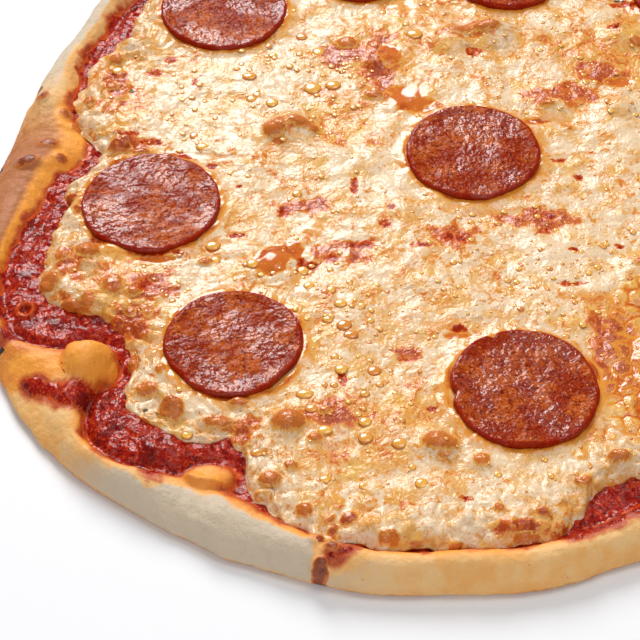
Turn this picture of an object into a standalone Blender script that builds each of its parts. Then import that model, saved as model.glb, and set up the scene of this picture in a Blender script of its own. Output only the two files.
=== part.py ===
"""A whole pepperoni pizza on a thin, hand-stretched crust.

The dough base carries a layer of tomato sauce, a sheet of melted cheese and eleven slices of
pepperoni. Each is its own solid, and they lie on each other with small gaps. Metres, +Z up.
The origin is on the table under the middle of the crust, and the photographed side faces -Y.
Angles are in degrees, counted from +X towards +Y.
"""

import math

import bmesh
import bpy
from mathutils import Matrix, Vector, noise

# Driving dimensions
LONG_RADIUS = 0.1740  # the dough was stretched into a slight oval
SHORT_RADIUS = 0.1565
LONG_DIRECTION = 47.6
BASE_THICK = 0.0043  # of the dough under the sauce
RIM_HEIGHT = 0.0100  # of the rim's crest, where the rim is of normal width
RIM_WIDTH = 0.0130
GAP = 0.0004  # between layers that lie on each other
SAUCE_THICK = 0.0017
CHEESE_THICK = 0.0024
CHEESE_LIP = 0.0009  # thickness of the cheese at its very edge
SLICE_RADIUS = 0.0225
SLICE_THICK = 0.0022

SAUCE_BOTTOM = BASE_THICK + GAP
SAUCE_TOP = SAUCE_BOTTOM + SAUCE_THICK
CHEESE_BOTTOM = SAUCE_TOP + GAP
CHEESE_TOP = CHEESE_BOTTOM + CHEESE_THICK
SEAT_TOP = CHEESE_TOP - 0.0006  # the cheese sank a little under each slice
SLICE_BOTTOM = SEAT_TOP + GAP

# Where an outline leaves its rule: (direction, extra metres, spread in degrees)
EDGE_BULGES = (
    (143, 0.0060, 5),
    (172, -0.0035, 9),
    (216, 0.0018, 7),
    (234, -0.0015, 5),
    (285, -0.0020, 6),
    (331, 0.0030, 9),
    (5, -0.0030, 10),
    (75, -0.0025, 9),
    (105, 0.0020, 7),
)
EDGE_SCALLOP = 0.0010
RIM_CHANGES = (
    (154, -0.0015, 7),
    (164, 0.0035, 4),
    (174, 0.0140, 3.5),
    (184, 0.0085, 6),
    (203, -0.0060, 8),
    (214.5, 0.0270, 3.4),
    (224, -0.0045, 6),
    (239, 0.0075, 6),
    (289, 0.0040, 5),
    (320, 0.0045, 10),
    (348, -0.0030, 8),
    (22, 0.0040, 8),
    (58, 0.0055, 7),
    (86, -0.0020, 7),
    (118, 0.0045, 7),
)
BARE_SAUCE = 0.0030  # how far the sauce usually shows past the cheese
BARE_SAUCE_CHANGES = (
    (150, 0.0050, 6),
    (169, -0.0035, 2.5),
    (179, 0.0055, 2.5),
    (188, 0.0045, 3),
    (197, 0.0110, 5),
    (208, 0.0190, 4),
    (214.5, -0.0080, 2.5),
    (222, 0.0180, 4.5),
    (230, 0.0120, 4),
    (236, 0.0120, 2.5),
    (246, -0.0030, 5),
    (262, -0.0025, 12),
    (284, 0.0070, 3.5),
    (301, 0.0050, 4),
    (341, 0.0080, 6),
    (31, 0.0090, 6),
    (85, 0.0070, 6),
    (110, 0.0040, 5),
    (125, 0.0050, 4),
)

# Pepperoni: where each slice lies, its radius as a share of SLICE_RADIUS, and its turn
SLICES = (
    (-0.0859, 0.0822, 1.00, 20),
    (-0.1064, -0.0167, 1.01, 75),
    (-0.0778, -0.0777, 0.97, 140),
    (-0.0006, 0.0080, 1.00, 200),
    (0.0097, -0.0962, 1.03, 250),
    (0.0154, 0.1044, 0.98, 310),
    (0.0930, -0.0300, 1.02, 15),
    (0.1020, 0.0330, 0.96, 100),
    (0.0840, 0.0935, 1.01, 165),
    (-0.0370, 0.1090, 0.99, 225),
    (0.0700, -0.0850, 0.98, 290),
)

# Blisters and lumps that baked up in the cheese: centre, radius, height
BLISTERS = (
    (-0.0610, 0.0195, 0.0110, 0.0034),
    (-0.0060, 0.0655, 0.0105, 0.0036),
    (0.0090, 0.0700, 0.0115, 0.0040),
    (0.0550, 0.0690, 0.0080, 0.0030),
    (-0.1185, 0.0120, 0.0090, 0.0030),
    (-0.0650, -0.0420, 0.0080, 0.0020),
    (-0.0161, -0.1172, 0.0085, 0.0030),
    (-0.0034, -0.1235, 0.0055, 0.0022),
    (-0.0616, -0.1092, 0.0062, 0.0034),
    (-0.0960, -0.0985, 0.0065, 0.0030),
    (-0.1235, -0.0400, 0.0085, 0.0026),
    (-0.1390, -0.0510, 0.0070, 0.0028),
    (-0.1245, -0.0660, 0.0070, 0.0026),
    (-0.0300, 0.0560, 0.0080, 0.0022),
    (0.0290, 0.0310, 0.0060, 0.0022),
    (0.0364, -0.1235, 0.0065, 0.0026),
    (0.0040, -0.1480, 0.0070, 0.0024),
    (-0.0350, -0.1480, 0.0070, 0.0022),
    (-0.1150, 0.0640, 0.0080, 0.0024),
    (0.0500, -0.0450, 0.0090, 0.0022),
    (0.1180, 0.0800, 0.0100, 0.0032),
    (0.0500, 0.0300, 0.0080, 0.0024),
    (0.1280, 0.0050, 0.0090, 0.0030),
    (0.1100, -0.0650, 0.0080, 0.0026),
    (0.0350, 0.1400, 0.0090, 0.0030),
    (-0.0700, 0.1200, 0.0085, 0.0026),
)
BLISTER_CELL = 0.0034  # longest mesh edge across a blister

# Bubbles of dough: centre, radius, height
DOUGH_BUBBLES = (
    (-0.1211, -0.0847, 0.0110, 0.0034),
    (-0.0470, -0.1630, 0.0060, 0.0020),
    (-0.1470, 0.0310, 0.0070, 0.0020),
    (0.1380, 0.0620, 0.0090, 0.0030),
    (0.1230, -0.0840, 0.0080, 0.0026),
    (0.0200, 0.1540, 0.0080, 0.0026),
)

CRUST_STEPS = 144
SLICE_STEPS = 24
CHEESE_CUTS = 23
SAUCE_BAND = 0.036  # the outer ring of sauce that is modelled in detail


def swell(angle, places):
    """Sum of smooth swellings round a closed outline, at a direction in degrees."""
    total = 0.0
    for direction, amount, spread in places:
        off = (angle - direction + 180) % 360 - 180
        total += amount * math.exp(-0.5 * (off / spread) ** 2)
    return total


def edge_radius(angle):
    """Distance from the middle to the outside of the crust."""
    turn = math.radians(angle - LONG_DIRECTION)
    oval = 1 / math.hypot(math.cos(turn) / LONG_RADIUS, math.sin(turn) / SHORT_RADIUS)
    scallop = relief(9 * math.cos(turn), 9 * math.sin(turn), 1.0, 2.6)
    return oval + swell(angle, EDGE_BULGES) + EDGE_SCALLOP * scallop


def rim_width(angle):
    return RIM_WIDTH + swell(angle, RIM_CHANGES)


def sauce_radius(angle):
    """Distance to the foot of the rim, where the sauce stops."""
    return edge_radius(angle) - rim_width(angle)


def cheese_radius(angle):
    bare = BARE_SAUCE + swell(angle, BARE_SAUCE_CHANGES)
    return sauce_radius(angle) - GAP - max(bare, 0.0)


def smooth_step(share):
    share = min(max(share, 0.0), 1.0)
    return share * share * (3 - 2 * share)


def relief(x, y, wavelength, seed):
    """Smooth random relief from -1 to 1, the same on every run."""
    return noise.noise(Vector((x / wavelength, y / wavelength, seed)))


def dome(x, y, centre_x, centre_y, radius):
    """1 in the middle of a round bump, falling to 0 at its edge."""
    off = math.hypot(x - centre_x, y - centre_y) / radius
    return smooth_step(1.15 * (1 - off)) if off < 1 else 0.0


def material(name, colour, roughness):
    made = bpy.data.materials.new(name)
    made.use_nodes = True
    shader = made.node_tree.nodes["Principled BSDF"]
    shader.inputs["Base Color"].default_value = (*colour, 1)
    shader.inputs["Roughness"].default_value = roughness
    shader.inputs["Metallic"].default_value = 0.0
    return made


def turned(name, profile, steps, collection):
    """Turns a profile of (radius, height) points about +Z and returns the shape as a mesh object."""
    mesh = bpy.data.meshes.new(name)
    points = [(radius, 0, height) for radius, height in profile]
    mesh.from_pydata(points, [(i, i + 1) for i in range(len(points) - 1)], [])
    obj = bpy.data.objects.new(name, mesh)
    collection.objects.link(obj)
    screw = obj.modifiers.new("turn", "SCREW")
    screw.axis = "Z"
    screw.steps = screw.render_steps = steps
    screw.use_merge_vertices = True
    screw.merge_threshold = 0.00001
    bpy.context.view_layer.update()
    graph = bpy.context.evaluated_depsgraph_get()
    obj.data = bpy.data.meshes.new_from_object(obj.evaluated_get(graph))
    obj.modifiers.clear()
    bpy.data.meshes.remove(mesh)
    obj.data.name = name
    return obj


def make_crust(collection):
    """Dough: a flat floor out to 1 in the profile, and from 1 to 2 the rim, crest and outer edge."""
    profile = (
        (0.00, BASE_THICK),
        (1.00, BASE_THICK),
        (1.10, BASE_THICK + 0.0022),
        (1.24, RIM_HEIGHT - 0.0012),
        (1.42, RIM_HEIGHT),
        (1.60, RIM_HEIGHT - 0.0007),
        (1.78, RIM_HEIGHT - 0.0026),
        (1.92, RIM_HEIGHT - 0.0052),
        (2.00, 0.0028),
        (1.98, 0.0011),
        (1.90, 0.0000),
        (0.00, 0.0000),
    )
    crust = turned("crust", profile, CRUST_STEPS, collection)
    for vertex in crust.data.vertices:
        x, y, z = vertex.co
        across = math.hypot(x, y)
        if across < 1e-6:
            continue
        angle = math.degrees(math.atan2(y, x))
        if across <= 1:
            radius = across * sauce_radius(angle)
        else:
            radius = sauce_radius(angle) + (across - 1) * rim_width(angle)
        x, y = x / across * radius, y / across * radius
        if across > 1.001 and z > BASE_THICK:
            lift = 0.62 + 0.38 * smooth_step(rim_width(angle) / RIM_WIDTH)
            lift += 0.22 * relief(x, y, 0.030, 3.1) + 0.16 * relief(x, y, 0.012, 7.7)
            z = BASE_THICK + (z - BASE_THICK) * lift
            for bubble_x, bubble_y, size, height in DOUGH_BUBBLES:
                z += height * dome(x, y, bubble_x, bubble_y, size)
        vertex.co = (x, y, z)
    crust.data.materials.append(material("baked_dough", (0.62, 0.42, 0.22), 0.75))
    return crust


def make_sauce(collection):
    """Tomato sauce: flat under the cheese, and thick, lumpy and uneven where it is bare."""
    profile = (
        (0.00, SAUCE_TOP),
        (1.00, SAUCE_TOP),
        (1.30, SAUCE_TOP),
        (1.52, SAUCE_TOP),
        (1.70, SAUCE_TOP),
        (1.85, SAUCE_TOP),
        (1.96, SAUCE_TOP - 0.0003),
        (2.00, SAUCE_BOTTOM + 0.0005),
        (1.99, SAUCE_BOTTOM),
        (0.00, SAUCE_BOTTOM),
    )
    sauce = turned("sauce", profile, CRUST_STEPS, collection)
    for vertex in sauce.data.vertices:
        x, y, z = vertex.co
        across = math.hypot(x, y)
        if across < 1e-6:
            continue
        angle = math.degrees(math.atan2(y, x))
        inner = sauce_radius(angle) - GAP - SAUCE_BAND
        radius = across * inner if across <= 1 else inner + (across - 1) * SAUCE_BAND
        x, y = x / across * radius, y / across * radius
        if z > SAUCE_BOTTOM + 0.0006:
            step = 360 / CRUST_STEPS
            cheese_reach = max(cheese_radius(angle + side * step) for side in (-2, -1, 0, 1, 2))
            past_cheese = radius - cheese_reach - 0.0045
            lump = 0.5 + relief(x, y, 0.012, 11.3)
            z += 0.0022 * max(lump, 0) * smooth_step(past_cheese / 0.004)
        vertex.co = (x, y, z)
    sauce.data.materials.append(material("tomato_sauce", (0.26, 0.03, 0.015), 0.45))
    return sauce


def cheese_height(x, y):
    """Height of the top of the cheese: gentle swells, blisters, and a flat seat for each slice."""
    angle = math.degrees(math.atan2(y, x))
    from_edge = max(cheese_radius(angle) - math.hypot(x, y), 0)
    body = CHEESE_LIP + (CHEESE_THICK - CHEESE_LIP) * smooth_step(from_edge / 0.005)
    waves = 0.0011 * relief(x, y, 0.024, 0.4) + 0.0008 * relief(x, y, 0.010, 5.2)
    edge_lumps = 0.0012 * relief(x, y, 0.008, 9.1) * smooth_step(1 - from_edge / 0.020)
    height = CHEESE_BOTTOM + body + (waves + edge_lumps) * smooth_step(from_edge / 0.004)
    for blister_x, blister_y, size, rise in BLISTERS:
        height += rise * dome(x, y, blister_x, blister_y, size) * smooth_step(from_edge / 0.004)
    for slice_x, slice_y, share, _ in SLICES:
        off = math.hypot(x - slice_x, y - slice_y) - share * SLICE_RADIUS
        seat = 1 - smooth_step((off - 0.0045) / 0.004)
        height += (SEAT_TOP - height) * seat
    return height


def hexagon_to_outline(x, y):
    """Carries a point of a hexagon of radius 1 to the same share of the cheese's outline."""
    sector = math.radians(60)
    angle = math.atan2(y, x) % (2 * math.pi)
    number, inside = divmod(angle, sector)
    to_side = math.cos(sector / 2) / math.cos(inside - sector / 2)
    share = math.hypot(x, y) / to_side
    along = math.sin(inside) / (math.sin(inside) + math.sin(sector - inside))
    turn = (number + along) * sector
    radius = share * cheese_radius(math.degrees(turn))
    return radius * math.cos(turn), radius * math.sin(turn)


def make_cheese(collection):
    """Melted cheese: an even net of triangles, finer on the blisters, closed by a flat underside."""
    mesh = bpy.data.meshes.new("cheese")
    net = bmesh.new()
    bmesh.ops.create_circle(net, cap_ends=True, cap_tris=True, segments=6, radius=1)
    corner_to_x = Matrix.Rotation(math.radians(30), 3, "Z")
    bmesh.ops.rotate(net, cent=(0, 0, 0), matrix=corner_to_x, verts=net.verts[:])
    bmesh.ops.subdivide_edges(net, edges=net.edges[:], cuts=CHEESE_CUTS, use_grid_fill=True)
    for vertex in net.verts:
        if vertex.co.length > 1e-6:
            vertex.co.x, vertex.co.y = hexagon_to_outline(vertex.co.x, vertex.co.y)
    for blister_x, blister_y, size, _ in BLISTERS:
        centre = Vector((blister_x, blister_y, 0))
        long_edges = [
            edge
            for edge in net.edges
            if not edge.is_boundary
            and edge.calc_length() > BLISTER_CELL
            and min((vertex.co - centre).length for vertex in edge.verts) < size
        ]
        bmesh.ops.subdivide_edges(net, edges=long_edges, cuts=1)
    bmesh.ops.triangulate(net, faces=net.faces[:])
    for vertex in net.verts:
        vertex.co.z = cheese_height(vertex.co.x, vertex.co.y)
    rim = [edge for edge in net.edges if edge.is_boundary]
    wall = bmesh.ops.extrude_edge_only(net, edges=rim)["geom"]
    for vertex in (item for item in wall if isinstance(item, bmesh.types.BMVert)):
        vertex.co.z = CHEESE_BOTTOM
    open_edges = [edge for edge in net.edges if edge.is_boundary]
    bmesh.ops.holes_fill(net, edges=open_edges)
    bmesh.ops.recalc_face_normals(net, faces=net.faces[:])
    net.to_mesh(mesh)
    net.free()
    cheese = bpy.data.objects.new("cheese", mesh)
    collection.objects.link(cheese)
    cheese.data.materials.append(material("melted_cheese", (0.82, 0.62, 0.32), 0.4))
    return cheese


def make_slice(number, place, collection, meat):
    """A slice of pepperoni: a thin disc, a little out of round, with its edge curled up."""
    centre_x, centre_y, share, turn = place
    radius = share * SLICE_RADIUS
    profile = (
        (0.00, SLICE_THICK - 0.0002),
        (0.62 * radius, SLICE_THICK - 0.0003),
        (0.93 * radius, SLICE_THICK + 0.0005),
        (1.00 * radius, SLICE_THICK - 0.0001),
        (0.97 * radius, 0.0000),
        (0.00, 0.0000),
    )
    piece = turned(f"pepperoni_{number:02d}", profile, SLICE_STEPS, collection)
    for vertex in piece.data.vertices:
        x, y, z = vertex.co
        angle = math.atan2(y, x)
        out_of_round = 1 + 0.022 * math.sin(2 * angle + number)
        out_of_round += 0.012 * math.sin(3 * angle - 2 * number)
        if z > 0.001:
            z += 0.0003 * relief(x, y, 0.012, number)
        vertex.co = (x * out_of_round, y * out_of_round, z)
    piece.location = (centre_x, centre_y, SLICE_BOTTOM)
    piece.rotation_euler = (0, 0, math.radians(turn))
    piece.data.materials.append(meat)
    return piece


def clear_scene():
    for obj in list(bpy.data.objects):
        bpy.data.objects.remove(obj, do_unlink=True)


def make_pizza():
    clear_scene()
    collection = bpy.data.collections.new("pepperoni_pizza")
    bpy.context.scene.collection.children.link(collection)
    pieces = [make_crust(collection), make_sauce(collection), make_cheese(collection)]
    meat = material("pepperoni", (0.34, 0.06, 0.025), 0.35)
    for number, place in enumerate(SLICES, start=1):
        pieces.append(make_slice(number, place, collection, meat))
    for piece in pieces:
        piece.data.shade_smooth()
        piece.data.set_sharp_from_angle(angle=math.radians(40))


make_pizza()
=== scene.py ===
"""A pepperoni pizza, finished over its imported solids. Metres, +Z up, photographed side towards -Y.

The sections follow the pizza as it is made: crust, sauce, cheese, beads of fat, pepperoni, then the
table, the lights and the camera. Tables of spots are in millimetres from the pizza's middle.
"""

import math

import bmesh
import bpy
import numpy as np
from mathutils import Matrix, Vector
from mathutils.bvhtree import BVHTree


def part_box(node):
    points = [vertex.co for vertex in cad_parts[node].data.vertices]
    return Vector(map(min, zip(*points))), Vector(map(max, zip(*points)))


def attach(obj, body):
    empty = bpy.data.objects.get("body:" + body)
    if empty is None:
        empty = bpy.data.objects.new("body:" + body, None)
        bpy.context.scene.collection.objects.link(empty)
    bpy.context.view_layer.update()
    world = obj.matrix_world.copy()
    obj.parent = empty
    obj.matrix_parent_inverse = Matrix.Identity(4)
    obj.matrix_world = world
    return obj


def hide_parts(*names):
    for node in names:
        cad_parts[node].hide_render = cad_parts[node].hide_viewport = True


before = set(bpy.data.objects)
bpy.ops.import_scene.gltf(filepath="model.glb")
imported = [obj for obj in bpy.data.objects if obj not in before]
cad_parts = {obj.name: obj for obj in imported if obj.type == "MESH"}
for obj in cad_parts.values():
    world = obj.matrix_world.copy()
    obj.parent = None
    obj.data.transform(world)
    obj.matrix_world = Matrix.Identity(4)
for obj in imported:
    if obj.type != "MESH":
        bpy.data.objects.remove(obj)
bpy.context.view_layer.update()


# Crust
# One disc of wheat dough, stretched by hand, with a rim that puffed up unevenly in the oven. The
# rim is matte, dusted with flour outside, golden inside, stained by the sauce and blistered.
MM = 0.001
RIM_AROUND = 1120  # steps round the rim, under 1 mm each
RIM_ACROSS = 82
RIM_INSIDE = 9 * MM  # how far the modelled ring runs in under the sauce
RIM_WIDTH = 16 * MM  # about how wide the rim is
BASE_TOP = 4.3 * MM  # height of the flat base inside the rim
OUTLINE_STEPS = 144  # directions in which a solid's outside is measured
ABOVE_ALL = 50 * MM  # height from which the tops of things are looked for
# Section of the rim: share of its width from the foot outwards, or -1 for the ring's inside, and
# height in millimetres
RIM_SECTION = (
    (-1, 4.3), (0, 4.3), (0.10, 6.2), (0.24, 8.6), (0.42, 10), (0.60, 9.4), (0.78, 7.4),
    (0.92, 5), (1, 2.8), (0.98, 1.1), (0.90, 0), (0.60, 0), (-1, 0),
)
# Blisters of dough that baked brown: x, y, half widths, height, how brown from 0 to 1
RIM_BLISTERS = (
    (-147, 35, 3, 3.2, 1.7, 0.8), (-149, 3, 4.8, 3.2, 1.6, 1), (-143, 12, 4.4, 3, 1.2, 0.85),
    (-138, 6, 2.2, 2.2, 1.2, 0.8), (-51.5, -160.5, 3, 3.4, 2.4, 0.95), (-48, -155, 2.8, 2.6, 1.7, 0.8),
    (-53, -151, 2.6, 3, 1.2, 0.35), (-134, 23, 3, 3, 1.2, 0.6), (-138, 28, 3, 3, 1.3, 0.7),
    (-158, 8, 1.8, 2.6, 0.8, 1), (-149, 44, 1.6, 1.6, 0.8, 0.9), (142, 60, 3.4, 2.8, 1.4, 0.8),
    (150, 20, 2.6, 3.2, 1.2, 0.8), (98, 128, 3.2, 2.6, 1.3, 0.8), (30, 156, 3.8, 2.6, 1.4, 0.8),
    (-60, 147, 2.8, 2.4, 1.2, 0.8), (130, -86, 2.8, 3.6, 1.4, 0.8), (72, -138, 2.6, 2, 1, 0.7),
    (146, -36, 3, 3.6, 1.3, 0.9),
)
# Humps of dough that puffed up into the sauce, the first three golden: x, y, half widths, height
DOUGH_HUMPS = (
    (-121.5, -84, 9.4, 10, 5.2), (-140, -88, 9, 6, 0.6), (-84, -127, 9, 5.4, 4.4),
    (-147, 8, 9, 9, 0.9), (-138, 26, 5, 6, 1.2), (118, -92, 8, 9, 2.6), (36, 150, 12, 5, 1.6),
)
# The wide fold of dough at the left: x, y, half widths
DOUGH_FOLD = ((-134, -84, 26, 13),)
# Burnt specks on the rim: x, y, half widths
RIM_CHAR = (
    (-150, -79, 1.6, 1.3), (-146, -99, 1.4, 1.2), (-159, 5, 1.6, 2.2), (-92, -123, 0.7, 0.8),
    (-21, -170, 3.4, 1.4), (16, -166, 3, 1.2), (-149, 44, 1.2, 1.3), (155, 34, 1.6, 2.4),
    (110, 120, 1.8, 1.3), (6, 166, 2.2, 1.4), (-92, 133, 1.2, 1.6), (140, -62, 1, 2),
)


def smooth(low, high, value):
    """0 below low, 1 above high, and an easy curve between, either way round."""
    share = np.clip((value - low) / (high - low), 0, 1)
    return share * share * (3 - 2 * share)


def towards(degrees, direction, spread):
    """1 in this direction from the middle, and falling off to 0 on both sides of it."""
    return np.exp(-0.5 * (((degrees - direction + 180) % 360 - 180) / spread) ** 2)


def relief(x, y, size, seed):
    """Smooth random ups and downs from about -1 to 1, in lumps of this size."""
    side = 97  # the pattern repeats after this many lumps
    turns = np.random.default_rng(seed).uniform(0, 2 * np.pi, (side, side))
    u = x / size + side * 50
    v = y / size + side * 50
    i = np.floor(u).astype(int)
    j = np.floor(v).astype(int)
    u = u - i
    v = v - j

    def pull(step_u, step_v):
        turn = turns[(i + step_u) % side, (j + step_v) % side]
        return np.cos(turn) * (u - step_u) + np.sin(turn) * (v - step_v)

    across = u * u * (3 - 2 * u)
    along = v * v * (3 - 2 * v)
    near = pull(0, 0) * (1 - across) + pull(1, 0) * across
    far = pull(0, 1) * (1 - across) + pull(1, 1) * across
    return 1.6 * (near * (1 - along) + far * along)


SAUCE_CLIMB = 1.6  # how far the sauce usually creeps up the rim, in millimetres
# Strokes of sauce that run further out: from x, y to x, y, half width
SAUCE_STROKES = (
    (-140, -92, -127, -98, 2.6), (-127, -98, -110, -103, 4.6), (-110, -103, -102, -105, 3.6),
    (-150, -74, -140, -70, 3), (-151, -60, -146, -66, 4), (-117, -114, -100, -126, 2.4),
    (-76, -126, -71, -134, 2.4), (-113, 87, -126, 62, 2), (-132, 55, -135, 40, 1.8),
    (-48, -157, -42, -155, 1.2), (20, -150, 40, -141, 2.2),
)
# Where bare dough shows inside the sauce: x, y, half widths
DOUGH_BARE = (
    (-121.5, -84, 9, 9.6), (-84, -128, 8, 5.2), (-140, -85, 12, 5), (-103, 66, 3, 6),
)


def closeness(x, y, place, ragged=0.0):
    """1 in the middle of an oval spot given in millimetres, 0 at its edge and negative past it."""
    return 1 - np.hypot((x / MM - place[0]) / place[2], (y / MM - place[1]) / place[3]) + ragged


def patches(x, y, places, ragged=0.0, soft=0.5):
    """How much each point lies in any of the oval spots, from 0 to 1."""
    most = np.zeros_like(x)
    for place in places:
        most = np.maximum(most, smooth(0, soft, closeness(x, y, place, ragged)))
    return most


def browning(x, y, places, ragged=0.0):
    """The same for blisters, whose sixth number is how brown each one is."""
    most = np.zeros_like(x)
    for place in places:
        most = np.maximum(most, place[5] * smooth(0, 0.45, closeness(x, y, place, ragged)))
    return most


def domes(x, y, places):
    """Height in metres of round-topped blisters. A place's fifth number is its height in millimetres."""
    top = np.zeros_like(x)
    for place in places:
        rise = np.clip(closeness(x, y, place), 0, 1)
        top = np.maximum(top, place[4] * MM * np.sqrt(1 - (1 - rise) ** 2) * smooth(0, 0.25, rise))
    return top


def outline_of(node):
    """The distance from the middle to a solid's outside, as a function of the direction in degrees."""
    corners = np.array([vertex.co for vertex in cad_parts[node].data.vertices])
    turn = np.degrees(np.arctan2(corners[:, 1], corners[:, 0])) % 360
    reach = np.hypot(corners[:, 0], corners[:, 1])
    step = 360 / OUTLINE_STEPS
    steps = np.round(turn / step).astype(int) % OUTLINE_STEPS
    outer = np.zeros(OUTLINE_STEPS)
    np.maximum.at(outer, steps, reach)
    return lambda degrees: np.interp(degrees % 360, np.arange(OUTLINE_STEPS) * step, outer, period=360)


def sauce_reach(x, y):
    """How far a point lies inside the sauce, in millimetres, and negative on bare dough."""
    degrees = np.degrees(np.arctan2(y, x))
    reach = (outline_of("sauce")(degrees) - np.hypot(x, y)) / MM + SAUCE_CLIMB
    for start_x, start_y, end_x, end_y, width in SAUCE_STROKES:
        along_x = end_x - start_x
        along_y = end_y - start_y
        share = ((x / MM - start_x) * along_x + (y / MM - start_y) * along_y) / (along_x**2 + along_y**2)
        share = np.clip(share, 0, 1)
        away = np.hypot(x / MM - start_x - share * along_x, y / MM - start_y - share * along_y)
        reach = np.maximum(reach, width - away)
    for place in DOUGH_BARE:
        reach = np.minimum(reach, -closeness(x, y, place) * min(place[2:4]))
    reach = reach + 1.5 * relief(x, y, 0.0085, 26) + 1.0 * relief(x, y, 0.0036, 27)
    return reach + 0.5 * relief(x, y, 0.0015, 28)


def surface_of(obj):
    """The height of the top of an object over points (x, y), and nan beside it."""
    corners = [vertex.co.copy() for vertex in obj.data.vertices]
    tree = BVHTree.FromPolygons(corners, [face.vertices[:] for face in obj.data.polygons])

    def height(x, y):
        found = np.full(x.shape, np.nan)
        for index, point in enumerate(zip(x.flat, y.flat)):
            hit = tree.ray_cast(Vector((*point, ABOVE_ALL)), Vector((0, 0, -1)))[0]
            if hit is not None:
                found.flat[index] = hit.z
        return found

    return height


def points_of(obj):
    """The object's points as an array of rows (x, y, z)."""
    flat = np.empty(len(obj.data.vertices) * 3)
    obj.data.vertices.foreach_get("co", flat)
    return flat.reshape(-1, 3)


def set_points(obj, points):
    obj.data.vertices.foreach_set("co", points.astype(np.float32).ravel())
    obj.data.update()


def normals_of(obj):
    flat = np.empty(len(obj.data.vertices) * 3, np.float32)
    obj.data.vertex_normals.foreach_get("vector", flat)
    return flat.reshape(-1, 3)


def paint(obj, name, amount):
    """Stores a number for each point, which the material reads by name."""
    layer = obj.data.attributes.new(name, "FLOAT", "POINT")
    layer.data.foreach_set("value", np.clip(amount, 0, 1).astype(np.float32))


def new_grid(name, along, across):
    """A flat grid of quads over (0..1, 0..1), to be laid over a form."""
    bpy.ops.object.select_all(action="DESELECT")
    bpy.ops.mesh.primitive_grid_add(x_subdivisions=along, y_subdivisions=across, size=1, location=(0, 0, 0))
    grid = bpy.context.object
    grid.name = grid.data.name = name
    set_points(grid, points_of(grid) + (0.5, 0.5, 0))
    return grid


def edit(obj, *steps):
    """Runs edit-mode steps on an object, all of it selected at first."""
    bpy.ops.object.select_all(action="DESELECT")
    bpy.context.view_layer.objects.active = obj
    obj.select_set(True)
    bpy.ops.object.mode_set(mode="EDIT")
    bpy.ops.mesh.select_mode(type="VERT")
    bpy.ops.mesh.select_all(action="SELECT")
    for step in steps:
        step()
    bpy.ops.object.mode_set(mode="OBJECT")


def close_ring():
    """Joins a rolled-up grid's two ends, fills what is open and turns the faces outwards."""
    bpy.ops.mesh.remove_doubles(threshold=0.00001)
    bpy.ops.mesh.select_all(action="DESELECT")
    bpy.ops.mesh.select_non_manifold()
    bpy.ops.mesh.fill_holes(sides=0)
    bpy.ops.mesh.select_all(action="SELECT")
    bpy.ops.mesh.normals_make_consistent(inside=False)


def shade(obj, material):
    for face in obj.data.polygons:
        face.use_smooth = True
    obj.data.materials.clear()
    obj.data.materials.append(material)


def colour(red, green, blue):
    """A colour as seen on a screen, from 0 to 255, for a shader."""
    return tuple(((c / 255 + 0.055) / 1.055) ** 2.4 if c > 10 else c / 3295 for c in (red, green, blue))


class Finish:
    """A surface finish built up in layers, as colours laid over each other through masks."""

    def __init__(self, name):
        self.material = bpy.data.materials.new(name)
        self.material.use_nodes = True
        self.tree = self.material.node_tree
        self.shader = self.tree.nodes["Principled BSDF"]
        self.place = self.tree.nodes.new("ShaderNodeTexCoord").outputs["Object"]

    def add(self, kind, values, **settings):
        made = self.tree.nodes.new(kind)
        for name, value in settings.items():
            setattr(made, name, value)
        for socket, value in values.items():
            self.put(made.inputs[socket], value)
        return made

    def put(self, socket, value):
        if isinstance(value, bpy.types.NodeSocket):
            self.tree.links.new(value, socket)
        elif socket.type == "RGBA":
            socket.default_value = (*value, 1)
        else:
            socket.default_value = value

    def noise(self, size, detail=4.0, rough=0.6, warp=0.0):
        """Cloudy pattern from 0 to 1 with lumps of this size in metres."""
        values = {
            "Vector": self.place, "Scale": 1 / size, "Detail": detail, "Roughness": rough, "Distortion": warp,
        }
        return self.add("ShaderNodeTexNoise", values).outputs["Fac"]

    def cells(self, size):
        """Distance to the nearest of many scattered points, and a random number for that point."""
        made = self.add("ShaderNodeTexVoronoi", {"Vector": self.place, "Scale": 1 / size})
        return made.outputs["Distance"], made.outputs["Color"]

    def mask(self, name):
        """The number that paint() stored under this name."""
        return self.add("ShaderNodeAttribute", {}, attribute_name=name).outputs["Fac"]

    def ramp(self, value, low, high):
        """0 up to low, 1 from high, and an easy curve between, either way round."""
        values = {"Value": value, "From Min": low, "From Max": high}
        return self.add("ShaderNodeMapRange", values, interpolation_type="SMOOTHSTEP").outputs["Result"]

    def sum(self, first, second, third=0.0):
        """first x second + third"""
        values = {0: first, 1: second, 2: third}
        return self.add("ShaderNodeMath", values, operation="MULTIPLY_ADD").outputs[0]

    def over(self, below, above, share):
        """Lays the colour above over the colour below, by a share from 0 to 1."""
        made = self.add("ShaderNodeMix", {}, data_type="RGBA")
        self.put(made.inputs[0], share)
        self.put(made.inputs[6], below)
        self.put(made.inputs[7], above)
        return made.outputs[2]

    def layers(self, base, value, *steps):
        """Lays a colour over the last one wherever the value rises through that step's range."""
        for low, high, shown in steps:
            base = self.over(base, colour(*shown), self.ramp(value, low, high))
        return base

    def bump(self, height, distance, below=None, strength=1.0):
        values = {"Height": height, "Distance": distance, "Strength": strength}
        if below is not None:
            values["Normal"] = below
        return self.add("ShaderNodeBump", values).outputs["Normal"]

    def done(self, base, roughness, normal, **sockets):
        self.put(self.shader.inputs["Base Color"], base)
        self.put(self.shader.inputs["Roughness"], roughness)
        self.put(self.shader.inputs["Normal"], normal)
        for name, value in sockets.items():
            self.put(self.shader.inputs[name.replace("_", " ")], value)
        return self.material


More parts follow.
